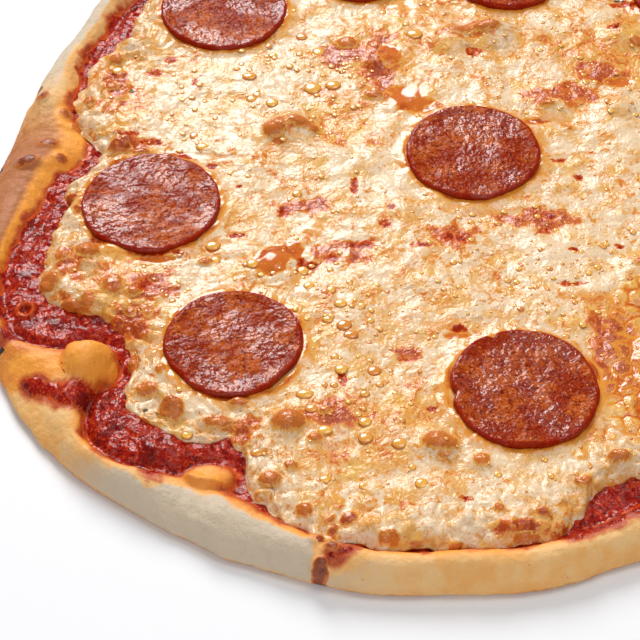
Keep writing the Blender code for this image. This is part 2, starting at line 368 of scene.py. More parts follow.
def baked_dough():
    """Matte dough: gold where it baked, pale with flour, brown on blisters, stained red by the sauce."""
    dough = Finish("baked_dough")
    cloud = dough.noise(0.012, detail=5)
    grain = dough.noise(0.0022, detail=6, rough=0.72)
    dust = dough.noise(0.0007, detail=3, rough=0.8)
    base = dough.over(colour(240, 192, 126), colour(238, 172, 92), dough.ramp(cloud, 0.4, 0.65))
    gold = dough.ramp(dough.sum(grain, 0.8, dough.mask("gold")), 0.45, 1.15)
    base = dough.over(base, colour(250, 162, 54), gold)
    flour = dough.ramp(dough.sum(dust, 0.5, dough.sum(grain, 0.5, dough.mask("flour"))), 0.65, 1.30)
    base = dough.over(base, colour(210, 190, 164), flour)
    toast = dough.sum(grain, 0.9, dough.mask("toast"))
    base = dough.layers(base, toast, (0.60, 1.40, (180, 106, 50)))
    stain = dough.sum(grain, 0.9, dough.mask("stain"))
    base = dough.layers(base, stain, (0.55, 1.45, (206, 96, 30)), (1.10, 1.70, (160, 40, 16)))
    brown = dough.sum(grain, 1.3, dough.mask("brown"))
    base = dough.layers(
        base, brown, (0.85, 1.15, (206, 112, 38)), (1.25, 1.55, (150, 66, 22)), (1.62, 1.85, (84, 34, 14)),
    )
    burnt = dough.sum(grain, 1.0, dough.mask("char"))
    base = dough.layers(base, burnt, (0.85, 1.25, (38, 20, 12)))
    base = dough.layers(base, dough.noise(0.0016, detail=2), (0.72, 0.8, (176, 108, 56)))
    normal = dough.bump(dough.noise(0.0024, detail=3), 0.0006)
    normal = dough.bump(dust, 0.00009, normal)
    shine = dough.sum(dough.mask("gold"), -0.14, dough.sum(dough.mask("brown"), -0.30, 0.70))
    shine = dough.sum(dough.mask("stain"), -0.16, shine)
    return dough.done(base, shine, normal, Subsurface_Weight=0.12, Subsurface_Radius=(0.004, 0.002, 0.001))


def bake_crust():
    edge = outline_of("crust")
    foot = outline_of("sauce")
    crust = new_grid("baked_crust", RIM_AROUND, RIM_ACROSS)
    turn, down, _ = points_of(crust).T
    degrees = turn * 360
    outer = edge(degrees)
    inner = foot(degrees)
    shares, heights = np.array(RIM_SECTION).T
    width = outer - inner
    section = np.where(shares < 0, -RIM_INSIDE / RIM_WIDTH, shares)
    steps = np.hypot(np.diff(section) * RIM_WIDTH / MM, np.diff(heights))
    along = np.concatenate([[0], np.cumsum(steps)]) / steps.sum()
    share = np.interp(down, along, section)
    height = np.interp(down, along, heights) * MM
    across = np.where(share < 0, inner + share * RIM_WIDTH, inner + share * width)
    angle = np.radians(degrees)
    set_points(crust, np.stack([across * np.cos(angle), across * np.sin(angle), height], axis=1))
    edit(crust, close_ring)

    # The ring is laid on the solid crust, then smoothed so that no flat of it shows.
    wrap = crust.modifiers.new("lie_on_solid", "SHRINKWRAP")
    wrap.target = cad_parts["crust"]
    ease = crust.modifiers.new("ease", "SMOOTH")
    ease.iterations = 8
    for modifier in (wrap, ease):
        bpy.ops.object.modifier_apply(modifier=modifier.name)

    points = points_of(crust)
    x, y, z = points.T
    angle = np.degrees(np.arctan2(y, x)) % 360
    share = (np.hypot(x, y) - foot(angle)) / (edge(angle) - foot(angle))
    shown = smooth(-0.25, 0.0, share) * smooth(0.0003, 0.0012, z)
    lean_x = x + 0.8 * z
    lean_y = y - 0.9 * z
    lump = 0.55 * relief(lean_x, lean_y, 0.014, 1) + 0.30 * relief(lean_x, lean_y, 0.006, 2)
    lump += 0.13 * relief(lean_x, lean_y, 0.0026, 3)
    crease = np.clip(0.12 - np.abs(relief(lean_x * 0.6, lean_y, 0.010, 4)), 0, 1) * 2.2
    points += normals_of(crust) * ((lump - crease) * MM * shown)[:, None]
    points[:, 2] += (domes(x, y, DOUGH_HUMPS) + domes(x, y, RIM_BLISTERS)) * smooth(0.0025, 0.0040, z)
    points[:, 2] = np.maximum(points[:, 2], 0)
    set_points(crust, points)

    def along_rim(middle, spread):
        return towards(angle, middle, spread)

    top = smooth(0.0035, 0.0060, z)
    cloud = relief(x, y, 0.022, 5)
    wet = sauce_reach(x, y)
    flour = 1.10 * along_rim(236, 15) + 1.5 * along_rim(143, 14) + 0.8 * along_rim(308, 16)
    flour += 0.5 * along_rim(75, 22) + 0.4 * along_rim(10, 14) - 0.8 * along_rim(212, 10)
    dusted = smooth(0.26, 0.50, share + 0.16 * cloud + 0.10 * relief(x, y, 0.006, 9)) * smooth(-2, -5, wet)
    fold = patches(x, y, DOUGH_FOLD, 0.2 * cloud, 0.5)
    dusted = dusted * (1 - 0.9 * fold)
    paint(crust, "flour", flour * dusted * smooth(0.0008, 0.0030, z) * (0.95 + 0.25 * cloud))
    gold = (1 - smooth(0.10, 0.60, share - 0.10 * cloud)) * 0.8 + 0.2 * (1 - top) * smooth(0.5, 0.9, share)
    gold = gold + 0.8 * along_rim(184, 12) + 0.55 * fold - 0.8 * along_rim(150, 14)
    paint(crust, "gold", gold + 0.9 * patches(x, y, DOUGH_HUMPS[:3], 0.1 * cloud, 0.5))
    underneath = (1 - smooth(0.0006, 0.0028, z + 0.0012 * cloud)) * 0.55 + 0.9 * (z < 0.0002)
    paint(crust, "toast", underneath + 1.4 * along_rim(186, 12) * smooth(0.2, 0.5, share))
    soak = 3.2 + 2.2 * relief(x, y, 0.013, 6) + 3.5 * along_rim(238, 7) * (share < 0.5)
    soaked = smooth(-soak, 0.2, wet + 1.2 * relief(x, y, 0.005, 10))
    stain = np.maximum(soaked, 0.55 * fold * smooth(-0.5, 0.5, cloud))
    paint(crust, "stain", stain * (1 - 0.7 * patches(x, y, DOUGH_BARE, 0.0, 0.6)))
    paint(crust, "brown", browning(x, y, RIM_BLISTERS, 0.2 * relief(x, y, 0.002, 7)))
    paint(crust, "char", patches(x, y, RIM_CHAR, 0.35 * relief(x, y, 0.0015, 8), 0.4))
    shade(crust, baked_dough())
    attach(crust, "root")
    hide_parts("crust")
    return crust


crust = bake_crust()


# Sauce
# Crushed tomato, spread on the raw dough with a spoon and baked to a dark, grainy paste. It lies in a
# thick uneven band between cheese and rim, and runs out to a thin stain where it climbs the rim.
SAUCE_AROUND = 1080
SAUCE_ACROSS = 66
SAUCE_BAND = 34 * MM  # how far the modelled band runs in under the cheese
SAUCE_EDGE = 5 * MM  # how far inside the crust's outline it ends, hidden in the dough
SAUCE_FLOOR = 3.6 * MM  # height of its underside, hidden in the dough
SAUCE_TOP = 6.4 * MM  # its usual height under the cheese
# The hollow ring of a blister that burst in the sauce: x, y, radius
BURST_RING = (-144, -61, 2.6)


def tomato_sauce():
    """Moist dark red paste with paler seeds and fibres."""
    sauce = Finish("tomato_sauce")
    cloud = sauce.noise(0.007, detail=4)
    pulp = sauce.noise(0.0014, detail=4, rough=0.65, warp=0.6)
    grain = sauce.noise(0.0007, detail=2, rough=0.6)
    base = sauce.over(colour(158, 20, 6), colour(200, 70, 24), sauce.ramp(pulp, 0.50, 0.66))
    base = sauce.layers(base, pulp, (0.47, 0.36, (92, 5, 3)))
    base = sauce.layers(base, cloud, (0.50, 0.66, (112, 8, 5)))
    thin = sauce.ramp(sauce.sum(pulp, 0.9, sauce.mask("thin")), 0.65, 1.40)
    base = sauce.over(base, colour(204, 80, 22), thin)
    base = sauce.layers(base, grain, (0.62, 0.74, (216, 104, 48)))
    normal = sauce.bump(sauce.noise(0.0034, detail=1), 0.0008)
    normal = sauce.bump(sauce.noise(0.0011, detail=2, rough=0.5), 0.0003, normal)
    rough = sauce.sum(pulp, 0.30, 0.02)
    return sauce.done(base, rough, normal, Specular_IOR_Level=0.22)


def close_below(sheet, floor):
    """Gives an open sheet walls down to this height, and a flat underside."""

    def draw_out_border():
        bpy.ops.mesh.select_all(action="DESELECT")
        bpy.ops.mesh.select_non_manifold()
        bpy.ops.mesh.extrude_region_move()

    count = len(sheet.data.vertices)
    edit(sheet, draw_out_border)
    points = points_of(sheet)
    points[count:, 2] = floor
    set_points(sheet, points)
    edit(sheet, close_ring)


def cover_middle():
    """Joins the rolled-up band's ends and covers the hole in its middle."""
    bpy.ops.mesh.remove_doubles(threshold=0.00001)
    bpy.ops.mesh.select_all(action="DESELECT")
    band = bmesh.from_edit_mesh(bpy.context.object.data)
    border = [edge for edge in band.edges if edge.is_boundary]
    inside = min(edge.verts[0].co.xy.length for edge in border) + 15 * MM
    for edge in border:
        edge.select_set(edge.verts[0].co.xy.length < inside)
    bpy.ops.mesh.edge_face_add()


def spread_sauce():
    rim = outline_of("sauce")
    sauce = new_grid("spread_sauce", SAUCE_AROUND, SAUCE_ACROSS)
    turn, out, _ = points_of(sauce).T
    degrees = turn * 360
    angle = np.radians(degrees)
    start = rim(degrees) - SAUCE_BAND
    across = start + out * (outline_of("crust")(degrees) - SAUCE_EDGE - start)
    x = across * np.cos(angle)
    y = across * np.sin(angle)
    on_solid = surface_of(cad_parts["sauce"])(x, y)
    on_dough = np.nan_to_num(surface_of(crust)(x, y), nan=BASE_TOP)
    reach = sauce_reach(x, y)
    film = np.clip(0.34 * reach, -0.9, 0.9) * MM
    height = np.fmax(on_solid - (0.2 + 2.0 * smooth(5, 0, reach)) * MM, on_dough + film)
    rows = height.reshape(SAUCE_ACROSS + 1, SAUCE_AROUND + 1)
    for _ in range(6):
        rows[1:-1] = (rows[:-2] + 2 * rows[1:-1] + rows[2:]) / 4
    height = rows.reshape(-1)
    lump = 0.50 * relief(x, y, 0.0055, 23) + 0.42 * relief(x, y, 0.0026, 24) + 0.20 * relief(x, y, 0.0013, 25)
    height = height + (lump + 0.15) * MM * smooth(0, 2.5, reach)
    ring = np.hypot(x / MM - BURST_RING[0], y / MM - BURST_RING[1]) / BURST_RING[2]
    height = height + (1.3 * np.exp(-((ring - 1) / 0.30) ** 2) - 0.6 * np.exp(-((ring / 0.6) ** 2))) * MM
    set_points(sauce, np.stack([x, y, height], axis=1))
    paint(sauce, "thin", smooth(1.5, 0, reach) + 0.9 * np.exp(-((ring - 1) / 0.4) ** 2))

    edit(sauce, cover_middle)
    close_below(sauce, SAUCE_FLOOR)
    shade(sauce, tomato_sauce())
    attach(sauce, "root")
    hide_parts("sauce")
    return sauce


sauce = spread_sauce()


# Cheese
# Grated mozzarella that melted into one sheet, with round lumps and strings at its border. The fat
# came out of it as golden oil, which lies in its pits, and its blisters browned.
CHEESE_CELLS = 305
CHEESE_REACH = 140 * MM  # about how far from the middle the sheet ends
CHEESE_LAP = 30 * MM  # width of the border, where it lies on sauce and dough
CHEESE_THIN = 0.9 * MM  # its least thickness there
CHEESE_LIP = 2.2 * MM  # width over which the sheet's edge rounds down
CHEESE_SUNK = 0.15 * MM  # how deep the edge sinks into what it lies on
CHEESE_FLOOR = 6.0 * MM  # height of its underside, hidden in the sauce
CHEESE_TOP = 8.5 * MM  # its usual height
OIL_MOST = 1.4  # the most oil, since painted numbers end at 1
# Where the cheese ran out further: direction in degrees, how far in millimetres, spread in degrees
CHEESE_RUNS = (
    (223, 6, 4), (231, 4.5, 2.5), (200, 3, 3), (251, 3, 2), (160, 2.5, 4), (60, 3, 3),
)
# Blisters of cheese: x, y, half widths, height, how brown from 0 to 1
CHEESE_BLISTERS = (
    (-67, 18, 4.6, 4.2, 1.9, 0.5), (-59, 21, 5, 3.4, 1.7, 0.6), (-54, 19, 3, 2.6, 1.2, 0.4),
    (-42, 64, 4.2, 3.4, 1.4, 0.5), (-33, 37, 4.1, 2.6, 1.2, 0.5), (-37, 41, 2.1, 2, 1, 0.5),
    (-2, 69, 5.5, 3.2, 1.2, 0.45), (7, 70, 6, 3, 1.4, 0.2), (26, 31, 3.4, 2, 1.1, 0.3),
    (33, 20, 1.9, 1.5, 0.9, 0.3), (60, 64, 2.8, 3, 1.3, 0.4), (54, 72, 2.2, 1.8, 1, 0.5),
    (-123, 56, 3.2, 3.4, 1.6, 0.45), (-131, 34, 2.6, 2.8, 1.6, 0.75), (-124, 41, 3.5, 2.4, 1.4, 0.6),
    (-119, 10, 4.6, 3, 2, 0.9), (-112, 8, 4.4, 2, 1.5, 0.85), (-103, 6, 3.6, 1.6, 1.1, 0.9),
    (-126, -38, 4.4, 4.6, 2.2, 0.75), (-134, -40, 3.1, 2.8, 1.6, 0.5), (-137, -51, 3.8, 4.4, 2, 0.25),
    (-141, -37, 2.2, 2, 1.4, 0.6), (-130, -61, 3.4, 3.4, 2, 0.35), (-124, -59, 3, 3.2, 1.6, 0.45),
    (-117, -53, 3.8, 4.8, 1.9, 0.8), (-110, -56, 2.6, 2.4, 1.2, 0.6), (-88, -42, 3.2, 1.9, 1.1, 0.5),
    (-137, -4, 2.7, 3, 1.8, 0.7), (-143, -10, 2.3, 2.6, 1.5, 0.8), (-107, -108, 5.6, 3.4, 1.6, 0.45),
    (-96, -103, 4.4, 4, 2.4, 0.75), (-104, -95, 4, 3, 1.8, 0.6), (-109, -84, 2.8, 4.4, 1.5, 0.45),
    (-100, -88, 2.2, 2.4, 1.2, 0.3), (-61, -109, 6, 4.8, 2.2, 0.65), (-82, -108, 5, 2.4, 1.4, 0.7),
    (-76, -101, 3.4, 2, 1.2, 0.6), (-66, -130, 4.2, 2.6, 1.7, 0.4), (-56, -141, 2.9, 2.7, 1.8, 0.55),
    (-60, -125, 2.5, 2, 1.3, 0.4), (-53, -115, 2.8, 2, 1.2, 0.7), (-50, -105, 2.4, 1.8, 1.1, 0.6),
    (-16, -117, 6.4, 4.2, 1.5, 0.55), (-4, -123, 3.1, 3.4, 0.9, 0.35), (0, -141, 2.2, 1.9, 1.4, 0.5),
    (8, -151, 5.6, 2.6, 1.5, 0.45), (-12, -153, 3.6, 1.8, 1.3, 0.3), (-32, -151, 3.6, 2.3, 1.6, 0.4),
    (-24, -152, 2.5, 1.5, 1.1, 0.4), (33, -136, 2.6, 2.3, 1.6, 0.5), (23, -149, 2.5, 2.1, 1.6, 0.6),
    (36, -123, 4.2, 2.4, 1.3, 0.3), (25, -131, 3.3, 2.2, 1.2, 0.2), (17, -146, 2, 1.8, 1.2, 0.4),
    (66, 8, 5, 3.6, 1.2, 0.5), (52, -44, 4.6, 3.2, 1, 0.4), (118, 80, 5, 4.4, 1.7, 0.6),
    (128, 5, 4.4, 4.8, 1.8, 0.7), (110, -62, 4.4, 3.8, 1.5, 0.6), (36, 137, 5, 3.8, 1.6, 0.6),
    (-70, 119, 4.8, 3.6, 1.6, 0.6), (56, 102, 4, 3, 1.2, 0.5), (90, -112, 3.8, 3.2, 1.6, 0.5),
    (60, -124, 4.6, 3.2, 1.5, 0.6), (86, -104, 3.4, 3.6, 1.5, 0.8), (136, 30, 3.2, 4.2, 1.7, 0.7),
    (126, 52, 3.8, 3, 1.4, 0.5), (100, 112, 3.2, 3.6, 1.6, 0.6), (70, 132, 4, 2.8, 1.4, 0.5),
    (-10, 141, 4, 3, 1.5, 0.4), (-96, 104, 3, 3.2, 1.4, 0.6),
)
# Thin places where the sauce shows through: x, y, half widths
SAUCE_SHOWS = (
    (-104, 56, 3.2, 2.6), (-110, 49, 3.6, 2.2), (-95, 44, 1.2, 2.6), (-93, 40, 1.6, 1.8),
    (-117, 17, 4, 2.6), (-109, 14, 5, 2), (-97, 7, 2.9, 2.6), (-88, 2, 2.4, 1.6), (-78, -8, 1.1, 1),
    (-63, -18, 2.8, 5), (-79, -30, 3.2, 1.5), (-106, -53, 4.8, 3.4), (-104, -39, 10, 2),
    (-40, -8, 1.7, 4), (-28, -18, 2.2, 2.4), (-30, -25, 3.2, 2), (-19, -35, 3.8, 2), (-9, -32, 5.4, 3.6),
    (-38, -35, 5.2, 2.6), (-48, -41, 3.4, 2.6), (23, -21, 3.4, 2.6), (21, -28, 2, 2), (34, -3, 2.2, 1.8),
    (28, 5, 3, 1.3), (28, -52, 5.5, 1.2), (45, -35, 1.8, 1.1), (30, -37, 1.6, 1.5), (52, 71, 3, 1.7),
    (57, 86, 5.5, 2.2), (2, 59, 4.6, 2.2), (-25, -83, 3.9, 1.2), (-8, -71, 3, 1.8), (-18, -103, 1.5, 1.4),
    (-9, -137, 2.4, 1.3), (-119, 33, 2.1, 2.1), (-45, -92, 1.8, 3), (-56, -44, 4, 4.4),
    (-124, -34, 4, 2.4), (80, 12, 4.4, 2.2), (70, -30, 3.6, 3), (86, -70, 5, 2), (60, 118, 4, 2.4),
    (120, -30, 3, 4), (-8, 122, 4.4, 2.6), (70, 50, 3, 2),
)
# Pools of orange oil: x, y, half widths
OIL_POOLS = (
    (-67, -42, 7.6, 8.6), (-60, -36, 4, 7), (-21, 36, 9, 8.6), (22, 24, 6, 1.7), (-11, -92, 2.6, 6.2),
    (-9, -74, 5.4, 2), (-104, -41, 9, 2), (-100, 8, 6, 1.6), (-72, -58, 5, 4), (-27, 58, 5.2, 7),
    (52, 44, 6, 3.4), (-86, -36, 3, 2.6), (78, -4, 6.6, 2.8), (64, 84, 5, 3.6), (46, -104, 4.4, 6.6),
)
# Spots where the cheese baked amber: x, y, half widths
AMBER_SPOTS = (
    (-43, -37, 14, 6.5), (-9, -31, 14, 7), (-31, 52, 7, 22), (33, 37, 15, 8), (47, 48, 12, 8),
    (-110, -67, 8, 10), (-56, -16, 12, 7), (-25, -80, 6, 3.5), (-115, 12, 10, 5), (-43, 58, 12, 9),
    (20, -23, 14, 6), (1, 69, 12, 5), (-75, -112, 8, 7), (-104, -52, 12, 8), (8, -148, 12, 3),
    (-14, 31, 7, 4), (90, 10, 12, 8), (100, -50, 8, 12), (60, 110, 14, 6), (-20, 120, 12, 6),
    (110, 60, 8, 10), (20, 92, 12, 6), (80, -95, 8, 8), (-90, 95, 8, 7), (-122, 44, 7, 10),
    (-132, -44, 7, 12), (-50, -106, 9, 8), (128, 20, 8, 14), (40, -80, 12, 20), (-66, 20, 9, 5),
)
# Thin films of clear oil that smooth the cheese over: x, y, half widths
OIL_FILMS = (
    (-52, -27, 11, 6), (-44, -38, 6, 5), (-22, 34, 12, 14), (1, -18, 18, 4.5), (-84, -33, 12, 3.5),
    (-30, -40, 7, 4), (-104, -8, 5, 12), (28, 24, 12, 4), (-58, -52, 5, 9), (-92, 6, 12, 4),
    (-12, -70, 10, 5), (30, -58, 16, 4), (74, 8, 12, 8), (80, -48, 10, 6), (62, 104, 14, 7),
    (-20, 84, 12, 7), (-70, 74, 14, 5), (100, 20, 8, 12),
)
# Broad areas stained golden by the oil, and broad areas left pale: x, y, half widths
GOLDEN_AREAS = (
    (-28, 62, 26, 34), (50, 60, 34, 22), (42, -82, 20, 42), (-40, -112, 26, 24), (-62, -70, 20, 16),
    (-12, 84, 34, 14), (-116, -60, 18, 34), (-120, 40, 14, 30), (108, 40, 26, 40), (10, 128, 40, 18),
    (76, -70, 24, 20), (-44, 20, 14, 24),
)
PALE_AREAS = (
    (-95, 30, 20, 22), (-70, 50, 20, 16), (14, -124, 22, 14), (30, -40, 26, 22), (-88, -12, 10, 18),
    (64, 20, 22, 20), (-40, 0, 20, 14), (-4, 30, 10, 12), (90, 74, 12, 12), (-40, 92, 18, 14),
)
# Where the oil stands in cracks between lumps of cheese: x, y, half widths
CRACKED_AREAS = (
    (44, -94, 15, 30), (50, -62, 15, 18), (104, 66, 14, 16), (50, 128, 14, 10),
)
# Burnt crumbs on the cheese: x, y, half widths
CHEESE_CHAR = ((-116, 39, 1.2, 1.6), (-37, 5, 1.1, 0.9), (56, 88, 2.6, 0.9), (-119, 16, 1.6, 0.9))

# The slices of pepperoni press into the cheese: node, middle x and y, radius, height of the underside
slices = []
for node in sorted(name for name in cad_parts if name.startswith("pepperoni")):
    low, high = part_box(node)
    middle = (low + high) / 2
    slices.append((node, middle.x, middle.y, (high.x - low.x + high.y - low.y) / 4, low.z))


def pebbles(x, y, size, seed):
    """Round pebbles packed side by side: a pillow height from 0 to 1, and a random number for each."""
    side = 89  # the pattern repeats after this many pebbles
    draw = np.random.default_rng(seed)
    shift_u = draw.uniform(0.1, 0.9, (side, side))
    shift_v = draw.uniform(0.1, 0.9, (side, side))
    picks = draw.uniform(0, 1, (side, side))
    u = x / size + side * 50
    v = y / size + side * 50
    nearest = np.full_like(x, 9.0)
    second = np.full_like(x, 9.0)
    pick = np.zeros_like(x)
    for step_u in (-1, 0, 1):
        for step_v in (-1, 0, 1):
            i = np.floor(u).astype(int) + step_u
            j = np.floor(v).astype(int) + step_v
            cell = (i % side, j % side)
            off = np.hypot(u - i - shift_u[cell], v - j - shift_v[cell])
            second = np.minimum(second, np.maximum(off, nearest))
            pick = np.where(off < nearest, picks[cell], pick)
            nearest = np.minimum(nearest, off)
    return smooth(0.0, 0.5, second - nearest), pick


def new_disc(name, cells):
    """A round sheet of quads of radius 1, from a square grid pressed into a circle."""
    disc = new_grid(name, cells, cells)
    u, v, _ = (points_of(disc) * 2 - 1).T
    set_points(disc, np.stack([u * np.sqrt(1 - v * v / 2), v * np.sqrt(1 - u * u / 2), 0 * u], axis=1))
    return disc


def cheese_skin(cheese, cloud, patch, curd, grain):
    """Cream and golden skin, with orange in its low places and fine brown edges round the curds."""
    base = cheese.over(colour(236, 210, 176), colour(228, 176, 100), cheese.ramp(cloud, 0.42, 0.60))
    tinge = cheese.sum(cloud, 1.0, cheese.mask("yellow"))
    base = cheese.over(base, colour(234, 180, 76), cheese.sum(cheese.ramp(tinge, 0.62, 1.20), 0.85))
    base = cheese.layers(base, curd, (0.46, 0.36, (226, 154, 76)))
    base = cheese.over(base, colour(214, 136, 60), cheese.sum(cheese.ramp(patch, 0.46, 0.36), 0.8))
    vein = cheese.sum(cheese.noise(0.0030, detail=3, rough=0.6, warp=0.9), 1.0, -0.5)
    vein = cheese.add("ShaderNodeMath", {0: vein}, operation="ABSOLUTE").outputs[0]
    some = cheese.ramp(cheese.sum(patch, 0.8, cheese.mask("gold")), 0.70, 1.00)
    vein = cheese.sum(cheese.ramp(vein, 0.032, 0.010), some)
    base = cheese.over(base, colour(188, 98, 36), cheese.sum(vein, 0.75))
    base = cheese.layers(base, grain, (0.58, 0.70, (230, 172, 104)))
    return cheese.over(base, colour(237, 209, 172), cheese.sum(cheese.ramp(tinge, 0.68, 0.46), 0.70))


def melted_cheese():
    """The skin, with golden and amber spots, oil, small bubbles, browned blisters and red sauce."""
    cheese = Finish("melted_cheese")
    cloud = cheese.noise(0.007, detail=5, rough=0.62)
    patch = cheese.noise(0.0036, detail=7, rough=0.66, warp=0.8)
    curd = cheese.noise(0.0016, detail=5, rough=0.70, warp=0.5)
    grain = cheese.noise(0.0006, detail=4, rough=0.7, warp=0.4)
    base = cheese_skin(cheese, cloud, patch, curd, grain)
    gold = cheese.sum(patch, 2.4, cheese.sum(curd, 1.0, cheese.sum(cheese.mask("gold"), 1.4, -2.32)))
    base = cheese.layers(
        base, gold, (0.02, 0.12, (226, 154, 62)), (0.22, 0.30, (208, 104, 30)), (0.60, 0.70, (174, 66, 14)),
    )
    oil = cheese.sum(cheese.mask("oil"), OIL_MOST)
    film = cheese.sum(curd, 0.5, oil)
    base = cheese.over(base, colour(230, 166, 106), cheese.sum(cheese.ramp(film, 0.42, 0.92), 0.25))
    base = cheese.layers(base, film, (0.80, 1.00, (226, 148, 50)))
    base = cheese.layers(base, cheese.sum(grain, 0.5, oil), (1.12, 1.32, (210, 110, 36)))
    base = cheese.layers(base, cheese.sum(cloud, 0.9, oil), (1.58, 1.74, (186, 80, 20)))
    away, pick = cheese.cells(0.0017)
    some = cheese.ramp(cheese.sum(cheese.mask("gold"), 0.6, pick), 0.92, 0.96)
    bubble = cheese.sum(cheese.ramp(away, 0.34, 0.24), some)
    base = cheese.over(base, colour(222, 148, 74), cheese.sum(bubble, 0.7))
    brown = cheese.sum(curd, 1.1, cheese.sum(patch, 0.9, cheese.sum(cheese.mask("brown"), 1.35)))
    base = cheese.layers(
        base, brown, (1.14, 1.30, (230, 164, 76)), (1.52, 1.70, (208, 116, 42)), (1.90, 2.10, (168, 68, 24)),
    )
    red = cheese.sum(patch, 2.2, cheese.sum(curd, 1.4, cheese.mask("red")))
    base = cheese.layers(
        base, red, (2.14, 2.24, (216, 124, 50)), (2.28, 2.40, (194, 70, 10)), (2.54, 2.68, (146, 34, 4)),
    )
    base = cheese.layers(base, cheese.sum(grain, 0.8, cheese.mask("char")), (0.8, 1.2, (60, 26, 16)))
    dry = cheese.sum(cheese.ramp(oil, 0.35, 0.75), -0.9, 1.0)
    normal = cheese.bump(cheese.noise(0.0040, detail=2, warp=0.6), 0.0008, strength=dry)
    normal = cheese.bump(cheese.noise(0.0013, detail=2, rough=0.5, warp=0.4), 0.00020, normal, dry)
    rough = cheese.sum(oil, -0.14, cheese.sum(brown, -0.07, cheese.sum(grain, 0.36, 0.16)))
    glossy = cheese.sum(cheese.ramp(red, 2.2, 2.5), -0.26, 0.36)
    return cheese.done(
        base, rough, normal, Subsurface_Weight=0.25, Subsurface_Radius=(0.0020, 0.0017, 0.0013),
        Coat_Weight=0.08, Coat_Roughness=0.08, Specular_IOR_Level=glossy,
    )


def lay_sheet(x, y, from_edge, below):
    """The height of a plain sheet on the solid cheese, whose border lies on sauce and dough."""
    on_solid = np.nan_to_num(surface_of(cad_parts["cheese"])(x, y), nan=0.0)
    sheet = np.fmax(on_solid, np.where(from_edge < CHEESE_LAP, below, 0) + CHEESE_THIN)
    sheet = sheet.reshape(CHEESE_CELLS + 1, CHEESE_CELLS + 1)
    for _ in range(5):
        wide = np.pad(sheet, 1, mode="edge")
        sheet = (wide[:-2, 1:-1] + wide[2:, 1:-1] + wide[1:-1, :-2] + wide[1:-1, 2:] + 4 * sheet) / 8
    return sheet.reshape(-1)


